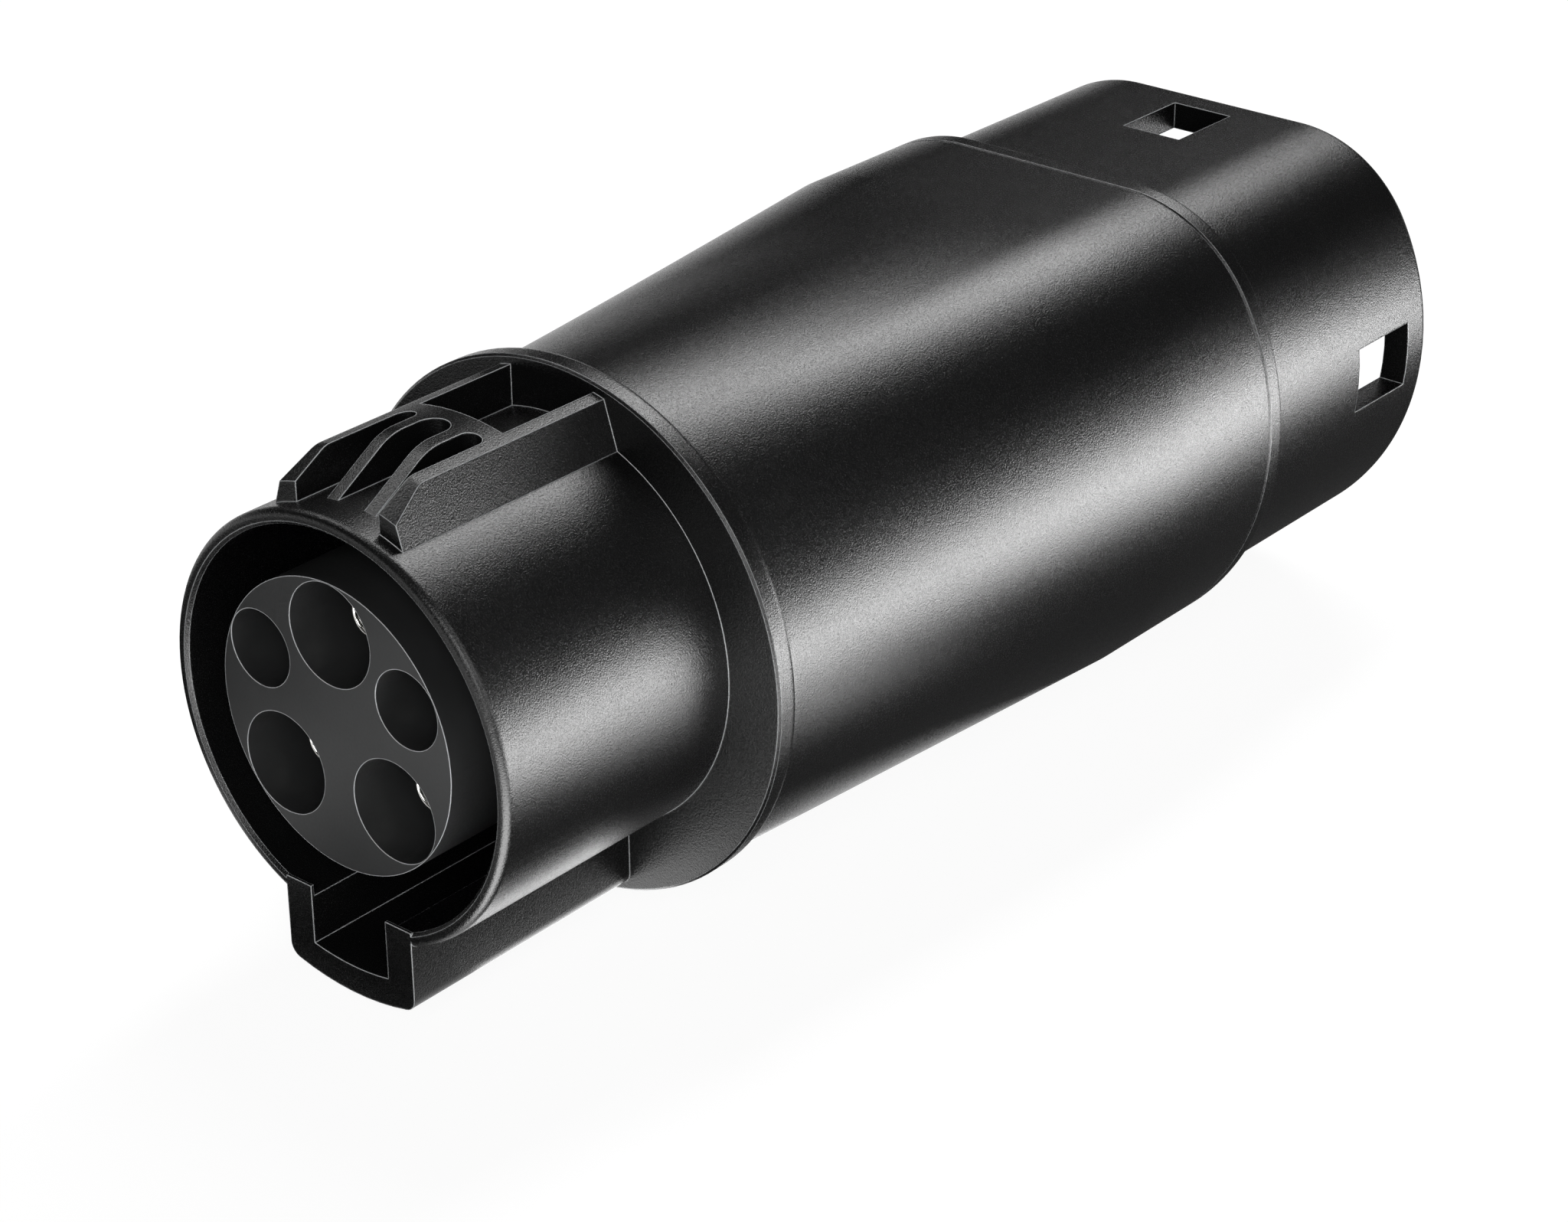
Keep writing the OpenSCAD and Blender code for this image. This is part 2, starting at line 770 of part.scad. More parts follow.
module inlet_outside() {
    spigot_in = body_in + sleeve_wall + spigot_fit;
    translate([0, 0, z_collar - spigot_l])
        linear_extrude(spigot_l + eps)
            shroud_outline(spigot_in);
    hull() {
        slice(z_collar)
            shroud_outline(body_in);
        slice(z_shroud - collar_round)
            shroud_outline(body_in);
        slice(z_shroud - eps)
            shroud_outline(body_in + collar_round);
    }
    translate([0, 0, z_shroud - 1])
        linear_extrude(shroud_l + 1 - shroud_round)
            shroud_outline();
    hull() {
        slice(z_rear - shroud_round - eps)
            shroud_outline();
        slice(z_rear - shroud_round * 0.6)
            shroud_outline(shroud_round * 0.1);
        slice(z_rear - shroud_round * 0.25)
            shroud_outline(shroud_round * 0.35);
        slice(z_rear - eps)
            shroud_outline(shroud_round * 0.8);
    }
}

module lock_window(angle, reach) {
    z_window = z_rear - window_end - window_l;
    rotate([0, 0, angle])
        translate([0, -window_w / 2, z_window])
            cube([reach + 1, window_w, window_l]);
}

module at_rear_screws() {
    ring_r = pin_boss_r + carrier_flange_w / 2 + 0.1;
    for (a = rear_screw_angles)
        translate([ring_r * cos(a), ring_r * sin(a), 0])
            children();
}

module inlet_shell() {
    spigot_in = body_in + sleeve_wall + spigot_fit;
    z_spigot = z_collar - spigot_l;
    seal_z = z_spigot + spigot_l / 2 - rear_seal_w / 2;
    color(black_shell)
        along_axis()
            difference() {
                inlet_outside();
                // The inlet's cavity, open to the rear
                translate([0, 0, z_floor])
                    linear_extrude(z_rear - z_floor + 1)
                        shroud_outline(shroud_wall);
                // The pin carrier's way through the floor, and the room for its flange
                translate([0, 0, z_shroud - 1])
                    linear_extrude(inlet_floor + 2)
                        pin_boss_outline(fit);
                translate([0, 0, z_spigot - 1])
                    linear_extrude(z_shroud - z_spigot + 1)
                        pin_boss_outline(carrier_flange_w + fit);
                // Lock windows on top and on both sides
                lock_window(90, shroud_flat);
                lock_window(0, shroud_r);
                lock_window(180, shroud_r);
                // Groove of the seal ring
                translate([0, 0, seal_z - fit])
                    linear_extrude(rear_seal_w + 2 * fit)
                        difference() {
                            shroud_outline(spigot_in - 1);
                            shroud_outline(spigot_in + rear_seal_t);
                        }
                at_rear_screws()
                    translate([0, 0, z_shroud - 1])
                        cylinder(r = screw_r + seat_fit, h = screw_bite + fit + 1);
            }
}

module rear_seal() {
    spigot_in = body_in + sleeve_wall + spigot_fit;
    seal_z = z_collar - spigot_l / 2 - rear_seal_w / 2;
    color(seal_grey)
        along_axis()
            translate([0, 0, seal_z])
                linear_extrude(rear_seal_w)
                    difference() {
                        shroud_outline(spigot_in - spigot_fit + seat_fit);
                        shroud_outline(spigot_in + rear_seal_t - seat_fit);
                    }
}

module pin_carrier() {
    z_step = z_pin_face - carrier_bevel;
    color(black_insert)
        along_axis()
            difference() {
                union() {
                    translate([0, 0, z_pin_flange])
                        linear_extrude(carrier_flange_t)
                            pin_boss_outline(carrier_flange_w);
                    translate([0, 0, z_shroud - eps])
                        linear_extrude(z_step - z_shroud + eps)
                            pin_boss_outline();
                    hull() {
                        slice(z_step - eps)
                            pin_boss_outline();
                        slice(z_pin_face - eps)
                            pin_boss_outline(-carrier_bevel);
                    }
                }
                at_points(concat(power_pins, spare_at))
                    translate([0, 0, z_pin_face - pin_hole_d])
                        cylinder(r = pin_hole_r, h = pin_hole_d + 1);
                at_points(signal_pins)
                    translate([0, 0, z_pin_face - pin_hole_d])
                        cylinder(r = pin_signal_hole_r, h = pin_hole_d + 1);
                at_points(power_pins)
                    translate([0, 0, z_pin_flange - 1])
                        cylinder(r = power_pin_r + pin_root_over + fit, h = z_pin_face - z_pin_flange);
                at_points(signal_pins)
                    translate([0, 0, z_pin_flange - 1])
                        cylinder(r = signal_pin_r + pin_root_over + fit, h = z_pin_face - z_pin_flange);
                at_rear_screws()
                    translate([0, 0, z_pin_flange - 1])
                        cylinder(r = screw_r + screw_fit, h = carrier_flange_t + 2);
            }
}

// One turned pin: wire barrel in front, shoulder and root, and a stem with a rounded tip behind
module pin_contact(r, set) {
    z_tip = z_pin_face - set;
    z_tail = z_pin_flange - wire_barrel_l;
    z_root = z_pin_face - pin_hole_d;
    root_r = r + pin_root_over;
    tip = r * 0.45;
    color(contact_silver)
        along_axis()
            rotate_extrude()
                polygon(concat(
                    [
                        [0, z_pin_flange - 1], [r - wire_barrel_wall, z_pin_flange - 1],
                        [r - wire_barrel_wall, z_tail], [root_r, z_tail],
                        [root_r, z_pin_flange - stem_shoulder_t],
                        [r + stem_shoulder, z_pin_flange - stem_shoulder_t],
                        [r + stem_shoulder, z_pin_flange], [root_r, z_pin_flange],
                        [root_r, z_root], [r, z_root]
                    ],
                    arc([r - tip, z_tip - tip], tip, 0, 90),
                    [[0, z_tip]]
                ));
}

module pin_earth() {
    shifted(pin_earth_at)
        pin_contact(power_pin_r, power_pin_set - 2);
}

module pin_line() {
    shifted(pin_line_at)
        pin_contact(power_pin_r, power_pin_set);
}

module pin_neutral() {
    shifted(pin_neutral_at)
        pin_contact(power_pin_r, power_pin_set);
}

module pin_pilot() {
    shifted(pin_pilot_at)
        pin_contact(signal_pin_r, signal_pin_set);
}

module pin_proximity() {
    shifted(pin_proximity_at)
        pin_contact(signal_pin_r, signal_pin_set);
}

module plate_hole(r) {
    translate([0, 0, z_pin_flange - rear_plate_t - 1])
        cylinder(r = r + pin_root_over + pass_fit, h = rear_plate_t + 2);
    translate([0, 0, z_pin_flange - stem_shoulder_t - fit])
        cylinder(r = r + stem_shoulder + fit, h = stem_shoulder_t + fit + 1);
}

module rear_plate() {
    z_plate = z_pin_flange - rear_plate_t;
    color(plate_black)
        along_axis()
            difference() {
                translate([0, 0, z_plate])
                    linear_extrude(rear_plate_t)
                        pin_boss_outline(carrier_flange_w);
                // Way of each wire barrel, and the seat of the pin's shoulder
                at_points(power_pins)
                    plate_hole(power_pin_r);
                at_points(signal_pins)
                    plate_hole(signal_pin_r);
                at_rear_screws()
                    translate([0, 0, z_plate - 1])
                        cylinder(r = screw_r + screw_fit, h = rear_plate_t + 2);
                // Slot that holds the coding board's rear edge
                translate([-board_w / 2 - seat_fit, board_y - seat_fit, z_plate - 1])
                    cube([board_w + 2 * seat_fit, board_t + 2 * seat_fit, rear_plate_t + 2]);
            }
}

module rear_screws() {
    color(screw_steel)
        along_axis()
            mirror([0, 0, 1])
                at_rear_screws()
                    screw(rear_plate_t - z_pin_flange, rear_plate_t + carrier_flange_t);
}

// Wiring

// A wire whose two ends run along the axis, with an eased curve between them
module wire(from, to, r) {
    points = [
        for (i = [0:wire_rings], k = [0:wire_sides - 1])
            let (
                t = i / wire_rings,
                ease = t * t * (3 - 2 * t),
                a = 360 * k / wire_sides
            )
            [
                from[0] + (to[0] - from[0]) * ease + r * cos(a),
                from[1] + (to[1] - from[1]) * ease + r * sin(a),
                from[2] + (to[2] - from[2]) * t
            ]
    ];
    walls = [
        for (i = [0:wire_rings - 1], k = [0:wire_sides - 1])
            let (k1 = (k + 1) % wire_sides)
            [
                i * wire_sides + k, (i + 1) * wire_sides + k,
                (i + 1) * wire_sides + k1, i * wire_sides + k1
            ]
    ];
    start_cap = [for (k = [0:wire_sides - 1]) k];
    end_cap = [for (k = [wire_sides - 1:-1:0]) wire_rings * wire_sides + k];
    polyhedron(points, concat(walls, [start_cap, end_cap]), convexity = 4);
}

// The bare end of a wire inside a wire barrel
module bare_end(at, z, r, length) {
    translate([at[0], at[1], z])
        cylinder(r = r, h = length);
}

// A wire from a socket contact to a pin, bare in both wire barrels
module link(from, to, r, bare_from_r, bare_to_r, shade) {
    z0 = plug_spigot_end + wire_barrel_l;
    z1 = z_pin_flange - wire_barrel_l;
    bare_l = wire_barrel_l - 1.5;
    color(shade)
        along_axis() {
            wire([from[0], from[1], z0], [to[0], to[1], z1], r);
            bare_end(from, z0 - bare_l, bare_from_r, bare_l + 1);
            bare_end(to, z1 - 1, bare_to_r, bare_l + 1);
        }
}

socket_bare_r = socket_power_r - wire_barrel_wall - fit;
pin_bare_r = power_pin_r - wire_barrel_wall - fit;
socket_signal_bare_r = socket_signal_r - wire_barrel_wall - fit;
pin_signal_bare_r = signal_pin_r - wire_barrel_wall - fit;

module wire_earth() {
    link(earth_at, pin_earth_at, power_wire_r, socket_bare_r, pin_bare_r, "#5f8f3a");
}

module wire_line() {
    link(line_at, pin_line_at, power_wire_r, socket_bare_r, pin_bare_r, "#6b4630");
}

module wire_neutral() {
    link(neutral_at, pin_neutral_at, power_wire_r, socket_bare_r, pin_bare_r, "#2f5f9e");
}

module wire_pilot() {
    link(pilot_at, pin_pilot_at, signal_wire_r, socket_signal_bare_r, pin_signal_bare_r, "#d8d2c4");
}

// The two proximity leads end on the coding board
lead_front_x = 0;
lead_rear_x = -5;
lead_front_reach = 6;
lead_rear_reach = 3;
resistor_x = 6;
lead_y = board_top + signal_wire_r;

module lead_front() {
    z0 = plug_spigot_end + wire_barrel_l;
    bare_l = wire_barrel_l - 1.5;
    color("#8d8f94")
        along_axis() {
            wire(
                [proximity_at[0], proximity_at[1], z0],
                [lead_front_x, lead_y, z_board + lead_front_reach],
                signal_wire_r
            );
            bare_end(proximity_at, z0 - bare_l, socket_signal_bare_r, bare_l + 1);
        }
}

module lead_rear() {
    z1 = z_pin_flange - wire_barrel_l;
    bare_l = wire_barrel_l - 1.5;
    color("#8d8f94")
        along_axis() {
            wire(
                [lead_rear_x, lead_y, z_board + lead_rear_reach],
                [pin_proximity_at[0], pin_proximity_at[1], z1],
                signal_wire_r
            );
            bare_end(pin_proximity_at, z1 - 1, pin_signal_bare_r, bare_l + 1);
        }
}

module coding_board() {
    color(board_green)
        along_axis()
            translate([-board_w / 2, board_y, z_board])
                cube([board_w, board_t, board_l + rear_plate_t]);
}

module coding_resistor() {
    lead_r = 0.35;
    mid_z = z_board + board_l / 2;
    axis_y = board_top + resistor_r + seat_fit;
    foot_z = resistor_l / 2 + 1.2;
    color(resistor_tan)
        along_axis()
            translate([resistor_x, axis_y, mid_z]) {
                translate([0, 0, -resistor_l / 2])
                    cylinder(r = resistor_r, h = resistor_l, $fn = 48);
                translate([0, 0, -foot_z - lead_r])
                    cylinder(r = lead_r, h = 2 * (foot_z + lead_r), $fn = 24);
                for (side = [-1, 1])
                    translate([0, 0, side * foot_z])
                        rotate([90, 0, 0])
                            cylinder(r = lead_r, h = resistor_r + seat_fit, $fn = 24);
            }
}

nose_shell();
socket_carrier();
socket_earth();
socket_line();
socket_neutral();
socket_pilot();
socket_proximity();
front_plate();
front_screws();
front_seal();
main_sleeve();
inlet_shell();
rear_seal();
pin_carrier();
pin_earth();
pin_line();
pin_neutral();
pin_pilot();
pin_proximity();
rear_plate();
rear_screws();
wire_earth();
wire_line();
wire_neutral();
wire_pilot();
lead_front();
lead_rear();
coding_board();
coding_resistor();
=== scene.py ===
import json
import math

import bmesh
import bpy
from mathutils import Matrix, Vector


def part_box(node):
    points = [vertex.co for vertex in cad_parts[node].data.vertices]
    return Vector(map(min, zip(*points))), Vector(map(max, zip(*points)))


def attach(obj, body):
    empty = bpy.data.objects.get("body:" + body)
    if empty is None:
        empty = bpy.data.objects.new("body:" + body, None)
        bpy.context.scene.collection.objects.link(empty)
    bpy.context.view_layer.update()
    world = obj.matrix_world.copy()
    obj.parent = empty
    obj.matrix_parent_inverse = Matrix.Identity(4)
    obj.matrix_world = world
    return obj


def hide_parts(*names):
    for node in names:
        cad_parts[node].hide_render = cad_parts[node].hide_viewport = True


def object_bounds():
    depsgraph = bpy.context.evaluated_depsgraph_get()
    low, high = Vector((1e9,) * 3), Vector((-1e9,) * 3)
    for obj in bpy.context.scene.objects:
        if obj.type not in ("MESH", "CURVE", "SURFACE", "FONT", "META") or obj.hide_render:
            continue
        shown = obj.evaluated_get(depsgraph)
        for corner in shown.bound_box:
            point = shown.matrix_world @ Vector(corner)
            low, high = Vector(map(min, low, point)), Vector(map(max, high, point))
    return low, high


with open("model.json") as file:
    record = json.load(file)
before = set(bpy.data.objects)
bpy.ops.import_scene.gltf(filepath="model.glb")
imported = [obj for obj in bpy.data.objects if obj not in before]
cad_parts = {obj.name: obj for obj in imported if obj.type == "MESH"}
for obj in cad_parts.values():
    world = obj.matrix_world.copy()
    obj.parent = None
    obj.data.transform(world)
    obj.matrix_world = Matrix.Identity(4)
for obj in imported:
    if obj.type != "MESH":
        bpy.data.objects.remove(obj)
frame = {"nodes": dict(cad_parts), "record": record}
CAD_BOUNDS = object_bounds()
NODES = frame["nodes"]
SLOTS = {part["node"]: part["material_slot"] for part in frame["record"]["subparts"]}

MM = 0.001


# Camera: the photograph's own viewpoint, with Y along the adapter and +Z up

CAMERA_AT = Vector((218.17, -195.78, 159.78)) * MM
CAMERA_AZIMUTH = math.radians(39.99)
CAMERA_ELEVATION = math.radians(26.93)
CAMERA_ROLL = math.radians(-0.228)
CAMERA_LENS = 82.53
SENSOR_WIDTH = 36.0
CLIP_START = 10 * MM


def turned_camera():
    """Builds the camera's rotation from its azimuth, elevation and roll."""
    sin_a, cos_a = math.sin(CAMERA_AZIMUTH), math.cos(CAMERA_AZIMUTH)
    sin_e, cos_e = math.sin(CAMERA_ELEVATION), math.cos(CAMERA_ELEVATION)
    back = Vector((sin_a * cos_e, -cos_a * cos_e, sin_e))
    level = Vector((cos_a, sin_a, 0.0))
    upright = back.cross(level)
    right = level * math.cos(CAMERA_ROLL) + upright * math.sin(CAMERA_ROLL)
    up = back.cross(right)
    return Matrix((right, up, back)).transposed()


def add_camera():
    """Adds the camera where it was fitted to the photograph's outlines."""
    data = bpy.data.cameras.new("camera")
    data.sensor_fit = "HORIZONTAL"
    data.sensor_width = SENSOR_WIDTH
    data.lens = CAMERA_LENS
    data.clip_start = CLIP_START
    camera = bpy.data.objects.new("camera", data)
    camera.matrix_world = Matrix.Translation(CAMERA_AT) @ turned_camera().to_4x4()
    bpy.context.scene.collection.objects.link(camera)
    bpy.context.scene.camera = camera


# Shells: smooth skins in place of the faceted sleeve, inlet shell and pin carrier

BARREL_R = 21.8 * MM
SHROUD_R = BARREL_R + 7.6 * MM
SHROUD_FLAT = SHROUD_R - 6.6 * MM
SHROUD_CORNER = 16.5 * MM
SHROUD_WALL = 3.1 * MM
SHROUD_ROUND = 0.9 * MM
SHROUD_FOOT = 0.3 * MM
MOUTH_BEVEL = 0.3 * MM
COLLAR_LENGTH = 2.4 * MM
COLLAR_STEP = 1.85 * MM
COLLAR_ROUND = 0.5 * MM
INLET_FLOOR = 4.0 * MM
FLOOR_BEVEL = 0.5 * MM
SLEEVE_WALL = 2.6 * MM
WEB = 3.5 * MM
FIT = 0.1 * MM
FLANGE_OVER = 6.3 * MM
NECK_STEP = 1.35 * MM
PLATE_OVER = 2.2 * MM
PLATE_GAP = 1.5 * MM
NECK_R = BARREL_R + FLANGE_OVER - NECK_STEP
NECK_DROP = 1.9 * MM
NECK_ROUND = 1.5 * MM
NECK_EDGE = 0.55 * NECK_ROUND
NECK_HOLE_R = NECK_R - SLEEVE_WALL - PLATE_OVER - PLATE_GAP + FIT
TAPER_LENGTH = 59.4 * MM
SEAM_BEVEL = 0.22 * MM
WINDOW_WIDTH = 7.6 * MM
WINDOW_LENGTH = 10.4 * MM
WINDOW_END = 4.0 * MM
PIN_CARRIER_R = SHROUD_R - SHROUD_WALL - 6.0 * MM
PIN_CARRIER_FLAT = SHROUD_FLAT - SHROUD_WALL - 4.3 * MM
PIN_CARRIER_CORNER = 9.0 * MM
PIN_CARRIER_BEVEL = 0.6 * MM
PIN_FLANGE_WIDTH = 4.1 * MM
PIN_FLANGE_LENGTH = 3.0 * MM
PIN_HOLE_DEPTH = 23.0 * MM
HOLE_BEVEL = 0.15 * MM
POWER_HOLE_R = 5.1 * MM
SIGNAL_HOLE_R = 3.4 * MM
# The two lowest of the seven holes hold no pin
SPARE_HOLES = ((6.9 * MM, -12.1 * MM), (-6.9 * MM, -12.1 * MM))
LIP_R = 2.1 * MM
LIP_ROUND = 0.25 * MM
LIP_SINK = 0.02 * MM

SLEEVE_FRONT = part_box("main_sleeve")[0][1]
COLLAR_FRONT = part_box("main_sleeve")[1][1]
SHROUD_FRONT = COLLAR_FRONT + COLLAR_LENGTH
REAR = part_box("inlet_shell")[1][1]
PIN_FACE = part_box("pin_carrier")[1][1]

RING_SIDES = 240
# Points along the D-shaped outline: window, rest of the round, corner, flat, and underside
WINDOW_STEPS, SIDE_STEPS, CORNER_STEPS, FLAT_STEPS, UNDER_STEPS = 4, 14, 30, 6, 84
HOLE_SIDES = 64
LIP_SIDES = 48
LIP_STEPS = 12
NECK_STEPS = 8
TAPER_STEPS = 24
ROUNDING_STEPS = 5
SHARP_ANGLE = math.radians(38)
# An extra ring this far from an edge keeps the long faces beside it flat
SUPPORT = 0.15 * MM


def full_turn(sides):
    """The angles of the corners of a ring."""
    return [2 * math.pi * k / sides for k in range(sides)]


def corner_of(radius, flat, corner):
    """Centre of the blend between the outline's flat and round parts, and its angle from the axis."""
    rise = flat - corner
    out = math.sqrt((radius - corner) ** 2 - rise ** 2)
    return out, rise, math.atan2(rise, out)


def d_reach(angle, inset):
    """Distance from the axis to the shroud's outline, moved inwards, at an angle."""
    radius, flat, corner = SHROUD_R - inset, SHROUD_FLAT - inset, SHROUD_CORNER - inset
    out, rise, turn = corner_of(radius, flat, corner)
    up, side = math.sin(angle), abs(math.cos(angle))
    if up > 0 and flat * side <= out * up:
        return flat / up
    if math.atan2(up, side) > turn:
        along = out * side + rise * up
        return along + math.sqrt(along ** 2 - out ** 2 - rise ** 2 + corner ** 2)
    return radius


def circle(y, radius, centre, sides):
    """A ring of points about a line along Y through the centre's x and z."""
    x, z = centre
    return [(x + radius * math.cos(a), y, z + radius * math.sin(a)) for a in full_turn(sides)]


def round_ring(y, radius):
    """A ring of the round neck, whose axis lies below the shroud's."""
    return circle(y, radius, (0.0, -NECK_DROP), RING_SIDES)


def d_ring(y, inset):
    """A ring of the D-shaped outline, in step with the round ones."""
    reach = [(a, d_reach(a, inset)) for a in full_turn(RING_SIDES)]
    return [(r * math.cos(a), y, r * math.sin(a)) for a, r in reach]


def between(ring_a, ring_b, part):
    """The ring that lies part of the way from one ring to another."""
    return [tuple(p + (q - p) * part for p, q in zip(a, b)) for a, b in zip(ring_a, ring_b)]


def d_outline(y, radius, flat, corner):
    """A D-shaped ring from the right window's lower edge round, with points on each window's edges."""
    out, rise, turn = corner_of(radius, flat, corner)
    half = WINDOW_WIDTH / 2
    low = math.asin(half / radius)
    window = [half * (2 * i / WINDOW_STEPS - 1) for i in range(WINDOW_STEPS)]
    right = [(math.sqrt(radius ** 2 - z ** 2), z) for z in window]
    for i in range(SIDE_STEPS):
        a = low + (turn - low) * i / SIDE_STEPS
        right.append((radius * math.cos(a), radius * math.sin(a)))
    for i in range(CORNER_STEPS):
        a = turn + (math.pi / 2 - turn) * i / CORNER_STEPS
        right.append((out + corner * math.cos(a), rise + corner * math.sin(a)))
    right += [(out + (half - out) * i / FLAT_STEPS, flat) for i in range(FLAT_STEPS)]
    top = [(-x, flat) for x in window]
    edge = (math.sqrt(radius ** 2 - half ** 2), half)
    left = [(-x, z) for x, z in reversed(right[WINDOW_STEPS + 1:])]
    left = [(-half, flat)] + left + [(-edge[0], edge[1])]
    left += [(-math.sqrt(radius ** 2 - z ** 2), -z) for z in window[1:]]
    under = []
    for i in range(UNDER_STEPS):
        a = math.pi + low + (math.pi - 2 * low) * i / UNDER_STEPS
        under.append((radius * math.cos(a), radius * math.sin(a)))
    return [(x, y, z) for x, z in right + top + left + under]


def shroud_ring(y, inset):
    """A ring of the shroud's outline, moved inwards."""
    return d_outline(y, SHROUD_R - inset, SHROUD_FLAT - inset, SHROUD_CORNER - inset)


def carrier_ring(y, grow=0.0):
    """A ring of the pin carrier's outline, moved outwards."""
    return d_outline(y, PIN_CARRIER_R + grow, PIN_CARRIER_FLAT + grow, PIN_CARRIER_CORNER + grow)


def rounding(start, end):
    """Quarter round from one (y, inset) to another, bulging outwards, without its two ends."""
    points = []
    for i in range(1, ROUNDING_STEPS):
        a = math.pi / 2 * i / ROUNDING_STEPS
        points.append((
            start[0] + (end[0] - start[0]) * math.sin(a),
            start[1] + (end[1] - start[1]) * (1 - math.cos(a)),
        ))
    return points


def add_piece(name, bm, node, covers=True):
    """Makes a smooth piece that stands for a CAD node, or only adds to it. Gives it with its slot."""
    bmesh.ops.recalc_face_normals(bm, faces=bm.faces)
    for face in bm.faces:
        face.smooth = True
    mesh = bpy.data.meshes.new(name)
    bm.to_mesh(mesh)
    bm.free()
    mesh.set_sharp_from_angle(angle=SHARP_ANGLE)
    piece = bpy.data.objects.new(name, mesh)
    bpy.context.scene.collection.objects.link(piece)
    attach(piece, "root")
    if covers:
        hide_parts(node)
    return piece, SLOTS[node]


def loft(bm, rings, closed, holes=()):
    """Joins rings of points by faces. A hole is (row, first column, last column) and stays open."""
    rows = [[bm.verts.new(p) for p in ring] for ring in rings]
    count = len(rings[0])
    for i in range(len(rows) if closed else len(rows) - 1):
        below, above = rows[i], rows[(i + 1) % len(rows)]
        for k in range(count):
            if any(i == row and first <= k < last for row, first, last in holes):
                continue
            k1 = (k + 1) % count
            bm.faces.new((below[k], above[k], above[k1], below[k1]))
    return rows


def add_sleeve():
    """The sleeve: a rounded neck, the taper from round to D-shaped, a straight end, and its inside."""
    neck = SLEEVE_FRONT + NECK_ROUND
    wide = neck + TAPER_LENGTH
    body = -COLLAR_STEP
    rings = []
    for i in range(NECK_STEPS + 1):
        a = math.pi / 2 * i / NECK_STEPS
        y = SLEEVE_FRONT + NECK_ROUND * (1 - math.cos(a))
        rings.append(round_ring(y, NECK_R - NECK_EDGE * (1 - math.sin(a))))
    for i in range(1, TAPER_STEPS):
        rings.append(between(round_ring(neck, NECK_R), d_ring(wide, body), i / TAPER_STEPS))
    rings += [
        d_ring(wide, body),
        d_ring(COLLAR_FRONT - SEAM_BEVEL - SUPPORT, body),
        d_ring(COLLAR_FRONT - SEAM_BEVEL, body),
        d_ring(COLLAR_FRONT, body + SEAM_BEVEL),
        d_ring(COLLAR_FRONT, body + SLEEVE_WALL),
        d_ring(wide, body + SLEEVE_WALL),
        round_ring(SLEEVE_FRONT + WEB, NECK_R - SLEEVE_WALL),
        round_ring(SLEEVE_FRONT + WEB, NECK_HOLE_R),
        round_ring(SLEEVE_FRONT, NECK_HOLE_R),
    ]
    bm = bmesh.new()
    loft(bm, rings, closed=True)
    return add_piece("sleeve_skin", bm, "main_sleeve")


def add_inlet():
    """The collar and the D-shaped shroud with its floor and its three lock windows."""
    body = -COLLAR_STEP
    floor = SHROUD_FRONT + INLET_FLOOR
    window_low = REAR - WINDOW_END - WINDOW_LENGTH
    window_high = REAR - WINDOW_END
    outside = [
        (COLLAR_FRONT, body + SEAM_BEVEL),
        (COLLAR_FRONT + SEAM_BEVEL, body),
        (COLLAR_FRONT + SEAM_BEVEL + SUPPORT, body),
        (SHROUD_FRONT - COLLAR_ROUND - SUPPORT, body),
        (SHROUD_FRONT - COLLAR_ROUND, body),
        *rounding((SHROUD_FRONT - COLLAR_ROUND, body), (SHROUD_FRONT, body + COLLAR_ROUND)),
        (SHROUD_FRONT, body + COLLAR_ROUND),
        (SHROUD_FRONT, -SHROUD_FOOT),
        (SHROUD_FRONT + SHROUD_FOOT / 3, -SHROUD_FOOT / 3),
        (SHROUD_FRONT + SHROUD_FOOT, 0.0),
        (SHROUD_FRONT + SHROUD_FOOT + SUPPORT, 0.0),
        (window_low, 0.0),
        (window_high, 0.0),
        (REAR - SHROUD_ROUND - SUPPORT, 0.0),
        (REAR - SHROUD_ROUND, 0.0),
        *rounding((REAR - SHROUD_ROUND, 0.0), (REAR, SHROUD_ROUND)),
        (REAR, SHROUD_ROUND),
    ]
    inside = [
        (REAR, SHROUD_WALL - MOUTH_BEVEL),
        (REAR - MOUTH_BEVEL, SHROUD_WALL),
        (window_high, SHROUD_WALL),
        (window_low, SHROUD_WALL),
        (floor + FLOOR_BEVEL, SHROUD_WALL),
        (floor, SHROUD_WALL + FLOOR_BEVEL),
    ]
    outer_row = outside.index((window_low, 0.0))
    inner_row = len(outside) + inside.index((window_high, SHROUD_WALL))
    top = WINDOW_STEPS + SIDE_STEPS + CORNER_STEPS + FLAT_STEPS
    left = top + WINDOW_STEPS + FLAT_STEPS + CORNER_STEPS + SIDE_STEPS
    windows = [(first, first + WINDOW_STEPS) for first in (0, top, left)]
    holes = [(row, first, last) for row in (outer_row, inner_row) for first, last in windows]
    rings = [shroud_ring(y, inset) for y, inset in outside + inside]
    rings += [carrier_ring(y, FIT) for y in (floor, SHROUD_FRONT, COLLAR_FRONT)]
    bm = bmesh.new()
    rows = loft(bm, rings, closed=True, holes=holes)
    out_low, out_high = rows[outer_row], rows[outer_row + 1]
    in_high, in_low = rows[inner_row], rows[inner_row + 1]
    for first, last in windows:
        for k in range(first, last):
            bm.faces.new((out_low[k], out_low[k + 1], in_low[k + 1], in_low[k]))
            bm.faces.new((out_high[k], in_high[k], in_high[k + 1], out_high[k + 1]))
        for k in (first, last):
            bm.faces.new((out_low[k], in_low[k], in_high[k], out_high[k]))
    return add_piece("inlet_skin", bm, "inlet_shell")


def loop_edges(bm, row):
    """The edges round a row of points."""
    return [bm.edges.get((row[k], row[(k + 1) % len(row)])) for k in range(len(row))]


